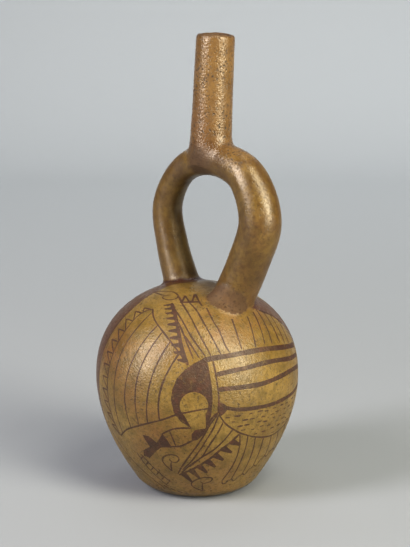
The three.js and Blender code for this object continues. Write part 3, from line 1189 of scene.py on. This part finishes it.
    def dress(self, piece: bpy.types.Object, finish: "BurnishedSlip") -> None:
        """Gives the piece its measures for the finish, its unwrap and its material."""
        data = piece.data
        points = np.concatenate(self.mesh.points)
        heights = points[:, 2]
        skin = np.abs(self.form.layers(points)[0]) < 2.0
        wall = np.hypot(points[:, 0], points[:, 1]) > self.cavity.radius_at(heights) + 2
        outside = np.where(heights < self.net_box[0][2], wall, skin)
        measures = {
            "slip_band": np.where(outside, self.bands(points), FAR),
            # browning, with painted shade on the lip's top and in the spout's bore
            "grime_and_shade": self.grime_and_shade(points),
            "scuffing": np.interp(heights, *np.array(self.wear.scuffed).T),
            "pitting": np.interp(heights, *np.array(self.wear.pitted).T),
        }
        line = data.attributes.new("slip_line", "FLOAT", "FACE")
        line.data.foreach_set("value", np.array(self.mesh.paint, np.float32))
        for name, values in measures.items():
            measure = data.attributes.new(name, "FLOAT", "POINT")
            measure.data.foreach_set("value", values.astype(np.float32))
        Unwrap(self).apply(data)
        data.materials.append(finish.make())

    def build(self, finish: "BurnishedSlip") -> bpy.types.Object:
        """Builds and dresses the bottle and returns it."""
        outside, inside = self.stirrup()
        brush = Brush(self.chamber, self.form)
        for turn in (0.0, 180.0):
            brush.turn = turn
            Picture(brush).draw(with_fillers=turn == 0.0)
        log.info("picture: %d facets", len(brush.facets))
        outer = Sheet(self.chamber, self.form)
        inner = Sheet(self.cavity, self.form, spacing=5.5, near_spacing=2.2, is_outer=False)
        self.disc(self.wall(outer, outside, brush.facets, Skin.WALL), Skin.BASE, True)
        self.disc(self.wall(inner, inside, [], Skin.CAVITY), Skin.CAVITY_FLOOR, False)
        points = np.concatenate(self.mesh.points)
        normals = np.concatenate(self.mesh.normals)
        data = bpy.data.meshes.new("painted_bottle")
        data.from_pydata((points * MM).tolist(), [], self.mesh.faces)
        data.update()
        piece = bpy.data.objects.new("painted_bottle", data)
        bpy.context.scene.collection.objects.link(piece)
        self.dress(piece, finish)
        data.shade_smooth()
        data.normals_split_custom_set_from_vertices([tuple(n) for n in normals])
        return piece


PATCHES = {  # left, bottom, width and height of a skin's patch of the square, and whether it lies on its side
    Skin.WALL: (0.012, 0.52, 0.965, 0.47, False),
    Skin.CAVITY: (0.80, 0.02, 0.17, 0.12, False),
    Skin.ARCH: (0.02, 0.33, 0.60, 0.145, True),
    Skin.SPOUT: (0.68, 0.30, 0.18, 0.19, False),
    Skin.ARCH_BORE: (0.02, 0.20, 0.50, 0.07, True),
    Skin.SPOUT_BORE: (0.90, 0.30, 0.07, 0.10, False),
}
DISCS = {Skin.BASE: (0.60, 0.08), Skin.CAVITY_FLOOR: (0.72, 0.08)}  # middles of the flat skins' patches
DISC_SPAN = 600  # mm of a flat skin that would fill the square


@dataclass
class Unwrap:
    """Lays the bottle's skins side by side in one square, the painted wall largest."""

    vessel: Vessel
    spout_span: Point = (195.0, 88.0)  # lowest height of the spout's skin, and its length

    def apply(self, data: bpy.types.Mesh) -> None:
        """Writes the unwrap of every corner."""
        corners = np.empty(len(data.loops), np.int64)
        data.loops.foreach_get("vertex_index", corners)
        sizes = np.empty(len(data.polygons), np.int64)
        data.polygons.foreach_get("loop_total", sizes)
        starts = np.cumsum(sizes) - sizes
        skins = np.repeat(np.array(self.vessel.mesh.skins), sizes)
        owner = np.repeat(np.arange(len(sizes)), sizes)
        points = np.concatenate(self.vessel.mesh.points)
        places = np.zeros((len(corners), 2))
        for skin in Skin:
            mine = skins == skin.value
            if mine.any():
                places[mine] = self.place(skin, points[corners[mine]], owner[mine], starts, mine)
        layer = data.uv_layers.new(name="OFBake")
        layer.data.foreach_set("uv", places.astype(np.float32).ravel())

    def place(self, skin: Skin, points: Array, owner: Array, starts: Array, mine: Array) -> Array:
        """Places the corners of one skin in the square.

        Args:
            skin: The skin.
            points: The corners' points.
            owner: The face that each corner belongs to.
            starts: The first corner of each face.
            mine: Which of all corners are this skin's.

        Returns:
            Two numbers between 0 and 1 for each corner.
        """
        vessel = self.vessel
        if skin in DISCS:
            return np.array(DISCS[skin]) + points[:, :2] / DISC_SPAN
        if skin in (Skin.WALL, Skin.CAVITY):
            egg = vessel.chamber if skin is Skin.WALL else vessel.cavity
            angle, up = egg.nearest(points)
            high = up / egg.up[-1]
        elif skin in (Skin.ARCH, Skin.ARCH_BORE):
            _, along = vessel.arch.reach(points)
            angle = vessel.arch.angle_round(points, along)
            high = along / vessel.arch.along[-1]
        else:
            _, angle = vessel.spout.off_axis(points)
            low, length = self.spout_span
            high = np.clip((points[:, 2] - low) / length, 0.0, 1.0)
        position = np.cumsum(mine) - 1
        lead = angle[position[starts[owner]]]
        angle = lead + (angle - lead + math.pi) % FULL_TURN - math.pi
        share = (angle + math.pi) / FULL_TURN
        left, bottom, width, height, on_side = PATCHES[skin]
        across, upward = (high, share) if on_side else (share, high)
        return np.stack([left + width * across, bottom + height * upward], 1)


def srgb(red: int, green: int, blue: int) -> tuple[float, float, float, float]:
    """A screen colour from 0 to 255 as the even-light values that the shader uses."""
    parts = []
    for part in (red, green, blue):
        value = part / 255
        parts.append(value / 12.92 if value <= 0.04045 else ((value + 0.055) / 1.055) ** 2.4)
    return parts[0], parts[1], parts[2], 1.0


@dataclass
class Bench:
    """A material's nodes in the making."""

    tree: bpy.types.NodeTree
    place: Socket = field(init=False)

    def __post_init__(self) -> None:
        """Takes the place on the object, at which every noise is read."""
        self.place = self.add("ShaderNodeTexCoord").outputs["Object"]

    def add(self, kind: str, inputs: dict | None = None, **settings: object) -> bpy.types.Node:
        """Adds a node.

        Args:
            kind: The node's type.
            inputs: Plain values or sockets for its inputs.
            settings: Its own settings.

        Returns:
            The node.
        """
        node = self.tree.nodes.new(kind)
        for name, value in settings.items():
            setattr(node, name, value)
        for name, value in (inputs or {}).items():
            if isinstance(value, Socket):
                self.tree.links.new(value, node.inputs[name])
            else:
                node.inputs[name].default_value = value
        return node

    def noise(self, scale: float, detail: float) -> Socket:
        """A cloudy value round one half at a scale of so many lumps to the metre."""
        inputs = {"Vector": self.place, "Scale": scale, "Detail": detail}
        return self.add("ShaderNodeTexNoise", inputs).outputs["Fac"]

    def span(self, value: Socket, low: float, high: float, to: Point = (0.0, 1.0)) -> Socket:
        """A value stretched so that low and high become the two ends of to."""
        inputs = {"Value": value, "From Min": low, "From Max": high, "To Min": to[0], "To Max": to[1]}
        return self.add("ShaderNodeMapRange", inputs, clamp=True).outputs["Result"]

    def cloud(self, scale: float, detail: float, low: float, high: float, to: Point = (0.0, 1.0)) -> Socket:
        """A noise stretched so that low and high become the two ends of to."""
        return self.span(self.noise(scale, detail), low, high, to)

    def math(self, how: str, a: object, b: object) -> Socket:
        """Difference, larger one and the like of two values."""
        return self.add("ShaderNodeMath", {0: a, 1: b}, operation=how).outputs[0]

    def times(self, a: object, b: object) -> Socket:
        """The product of two values."""
        return self.math("MULTIPLY", a, b)

    def plus(self, first: Socket, *others: Socket) -> Socket:
        """The sum of values."""
        for other in others:
            first = self.math("ADD", first, other)
        return first

    def mix(self, share: object, a: object, b: object) -> Socket:
        """One colour laid over another by a share."""
        return self.add("ShaderNodeMix", {0: share, 6: a, 7: b}, data_type="RGBA").outputs[2]

    def measure(self, name: str) -> Socket:
        """A number stored on the mesh."""
        return self.add("ShaderNodeAttribute", attribute_name=name).outputs["Fac"]


@dataclass(frozen=True)
class BurnishedSlip:
    """Golden-brown burnished slip with red-brown painting, pits, wear and painted shade."""

    clay: Colour = (108, 83, 33)
    pale: Colour = (130, 104, 48)
    warm: Colour = (108, 62, 34)
    olive: Colour = (76, 60, 16)
    rosy: Colour = (112, 78, 56)
    # also the colour of the painted shade on the lip's top and in the spout's bore
    brown: Colour = (66, 40, 18)
    paint: Colour = (48, 18, 10)
    worn_paint: Colour = (74, 35, 20)
    wash: Colour = (66, 34, 26)
    dirt: Colour = (46, 29, 13)
    roughness: Point = (0.20, 0.36)
    specular: float = 0.75
    specular_tint: tuple[float, float, float, float] = (1.0, 0.92, 0.74, 1.0)

    def make(self) -> bpy.types.Material:
        """Makes the material."""
        material = bpy.data.materials.new("burnished_slip")
        material.use_nodes = True
        material.node_tree.nodes.clear()
        bench = Bench(material.node_tree)
        colour = self.painted(bench, self.clay_colour(bench))
        pits = self.pits(bench)
        colour = bench.mix(bench.span(pits, 0.0, 0.7), colour, srgb(*self.dirt))
        rough = bench.plus(
            bench.cloud(140.0, 3.0, 0.3, 0.7, self.roughness),
            bench.span(bench.measure("scuffing"), 0.0, 1.0, (0.0, 0.12)),
            bench.times(bench.span(bench.measure("grime_and_shade"), 0.5, 1.0), 0.5),
            bench.times(pits, 0.3),
            bench.times(bench.measure("slip_line"), 0.16),
        )
        inputs = {"Base Color": colour, "Roughness": rough, "Normal": self.relief(bench, pits)}
        shader = bench.add("ShaderNodeBsdfPrincipled", inputs)
        shader.inputs["Specular IOR Level"].default_value = self.specular
        shader.inputs["Specular Tint"].default_value = self.specular_tint
        bench.add("ShaderNodeOutputMaterial", {"Surface": shader.outputs["BSDF"]})
        return material

    def clay_colour(self, bench: Bench) -> Socket:
        """The slip's colour, cloudy, stained and grimy, and darkened as painted shade on the lip's top and in
        the spout's bore.
        """
        colour = bench.mix(bench.cloud(34.0, 5.0, 0.35, 0.65), srgb(*self.clay), srgb(*self.pale))
        for scale, detail, low, high, share, stain in (
            (21.0, 3.0, 0.50, 0.70, 0.5, self.warm),
            (150.0, 5.0, 0.46, 0.66, 0.5, self.olive),
            (480.0, 3.0, 0.50, 0.68, 0.45, self.olive),
        ):
            cover = bench.times(bench.cloud(scale, detail, low, high), share)
            colour = bench.mix(cover, colour, srgb(*stain))
        rosy = bench.times(bench.span(bench.measure("pitting"), 0.5, 1.0), 0.45)
        colour = bench.mix(rosy, colour, srgb(*self.rosy))
        broad = bench.cloud(60.0, 4.0, 0.3, 0.7, (-0.2, 0.2))
        fine = bench.cloud(330.0, 3.0, 0.3, 0.7, (-0.16, 0.16))
        # browns the grimy places, and paints shade on the lip's top and in the spout's bore
        grime_and_shade = bench.span(bench.plus(bench.measure("grime_and_shade"), broad, fine), 0.1, 0.9, (0.0, 0.85))
        return bench.mix(grime_and_shade, colour, srgb(*self.brown))

    def painted(self, bench: Bench, clay: Socket) -> Socket:
        """The clay's colour with the painting over it, worn thin here and there."""
        edge = bench.times(bench.math("SUBTRACT", bench.noise(170.0, 3.0), 0.5), 1.2)
        band = bench.plus(bench.measure("slip_band"), edge)
        fill = bench.span(band, -0.25, 0.25, (0.8, 0.0))
        rim = bench.times(fill, bench.span(band, -1.7, -1.1))
        wear = bench.cloud(380.0, 4.0, 0.56, 0.76, (1.0, 0.55))
        fade = bench.cloud(26.0, 2.0, 0.58, 0.74, (0.95, 0.72))
        paint = bench.mix(bench.cloud(260.0, 4.0, 0.5, 0.75), srgb(*self.paint), srgb(*self.worn_paint))
        colour = bench.mix(bench.times(fill, wear), clay, srgb(*self.wash))
        drawn = bench.math("MAXIMUM", bench.measure("slip_line"), rim)
        return bench.mix(bench.times(drawn, bench.times(wear, fade)), colour, paint)

    def pits(self, bench: Bench) -> Socket:
        """Small dark pits, thick on the spout and in some patches of the chamber."""
        specks = bench.cloud(700.0, 3.0, 0.57, 0.66)
        patches = bench.cloud(48.0, 2.0, 0.40, 0.60, (0.4, 1.0))
        return bench.times(specks, bench.times(patches, bench.measure("pitting")))

    def relief(self, bench: Bench, pits: Socket) -> Socket:
        """Fine unevenness of the hand-rubbed surface, with the pits sunk in."""
        rubbed = bench.times(bench.noise(95.0, 2.0), 0.9)
        depth = bench.plus(bench.measure("pitting"), bench.times(bench.measure("scuffing"), 0.25))
        grain = bench.times(bench.times(bench.noise(880.0, 2.0), depth), 0.85)
        height = bench.math("SUBTRACT", bench.plus(rubbed, grain), bench.times(pits, 0.35))
        inputs = {"Height": height, "Strength": 0.7, "Distance": 0.0006}
        return bench.add("ShaderNodeBump", inputs).outputs["Normal"]


def from_photo(right: float, away: float, up: float) -> Vector:
    """The place so many metres to the photograph's right, away from the camera and up."""
    return PHOTO_RIGHT * right + PHOTO_AWAY * away + Vector((0.0, 0.0, up))


@dataclass
class Studio:
    """A plain pale sweep, soft lights and the camera at the photograph's angle."""

    camera_place: Triple = (0.7105, -0.7037, 0.3640)
    camera_pitch: float = 12.97
    lens: float = 110.6
    floor_colour: Colour = (138, 141, 143)

    def camera(self) -> None:
        """Sets the camera, level from side to side and tipped down."""
        data = bpy.data.cameras.new("camera")
        data.lens, data.sensor_width, data.clip_end = self.lens, 36.0, 20.0
        camera = bpy.data.objects.new("camera", data)
        camera.location = self.camera_place
        camera.rotation_euler = (math.radians(90 - self.camera_pitch), 0.0, math.radians(45))
        bpy.context.scene.collection.objects.link(camera)
        bpy.context.scene.camera = camera

    def sweep(self) -> None:
        """The floor, which curves up behind into a plain backdrop."""
        half, front, back, bend, high = 1.6, -1.2, 1.1, 0.45, 1.6
        rows = [(front, 0.0), (back, 0.0)]
        for step in range(1, 13):
            turn = step / 12 * math.pi / 2
            rows.append((back + bend * math.sin(turn), bend * (1 - math.cos(turn))))
        rows.append((back + bend, high))
        points = [tuple(from_photo(side, away, up)) for away, up in rows for side in (-half, half)]
        faces = [(2 * i, 2 * i + 1, 2 * i + 3, 2 * i + 2) for i in range(len(rows) - 1)]
        data = bpy.data.meshes.new("sweep")
        data.from_pydata(points, [], faces)
        data.shade_smooth()
        floor = bpy.data.objects.new("sweep", data)
        material = bpy.data.materials.new("paper")
        material.use_nodes = True
        shader = material.node_tree.nodes["Principled BSDF"]
        shader.inputs["Base Color"].default_value = srgb(*self.floor_colour)
        shader.inputs["Roughness"].default_value = 0.9
        data.materials.append(material)
        bpy.context.scene.collection.objects.link(floor)

    def light(
        self,
        name: str,
        place: Sequence[float],
        size: Point,
        power: float,
        tint: Sequence[float],
        target: Sequence[float] = (0.0, 0.0, 0.12),
        spread: float = 180.0,
    ) -> None:
        """Hangs one soft panel.

        Args:
            name: Its name.
            place: Metres to the photograph's right, away from the camera and up.
            size: Width and height in metres.
            power: Watts.
            tint: Its colour.
            target: Where it faces, given as its place is.
            spread: How widely it shines, in degrees.
        """
        data = bpy.data.lights.new(name, "AREA")
        data.shape, data.size, data.size_y = "RECTANGLE", size[0], size[1]
        data.energy, data.color, data.spread = power, tint, math.radians(spread)
        lamp = bpy.data.objects.new(name, data)
        spot, aim = from_photo(*place), from_photo(*target)
        lamp.location = spot
        lamp.rotation_euler = (aim - spot).to_track_quat("-Z", "Y").to_euler()
        bpy.context.scene.collection.objects.link(lamp)

    def lights(self) -> None:
        """Soft panels left, right, high on the right and over the backdrop, and a dim grey surround."""
        self.light("left_panel", (-1.12, -0.60, 0.78), (0.42, 1.10), 30.0, (1.0, 0.95, 1.0))
        self.light("right_panel", (0.98, -0.90, 0.66), (0.58, 1.20), 37.0, (1.0, 0.96, 0.85))
        self.light("high_panel", (0.46, -0.62, 1.38), (0.55, 0.55), 13.0, (1.0, 0.97, 0.86))
        backdrop = (0.45, 1.45, 0.35)
        self.light("back_panel", (0.6, 0.8, 1.9), (2.6, 0.4), 22.0, (0.97, 0.99, 1.0), backdrop, 100.0)
        world = bpy.data.worlds.new("surround")
        world.use_nodes = True
        back = world.node_tree.nodes["Background"]
        back.inputs["Color"].default_value = (0.93, 0.96, 1.0, 1.0)
        back.inputs["Strength"].default_value = 0.1
        bpy.context.scene.world = world
        bpy.context.scene.view_settings.view_transform = "Standard"
        bpy.context.scene.view_settings.gamma = 0.9


def main() -> None:
    """Builds the studio and the bottle."""
    logging.basicConfig(level=logging.INFO, format="%(message)s")
    studio = Studio()
    studio.camera()
    studio.sweep()
    studio.lights()
    bottle = Vessel().build(BurnishedSlip())
    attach(bottle, "root")
    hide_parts("vessel")
    log.info("painted_bottle: %d points, %d faces", len(bottle.data.vertices), len(bottle.data.polygons))


if __name__ == "__main__":
    main()
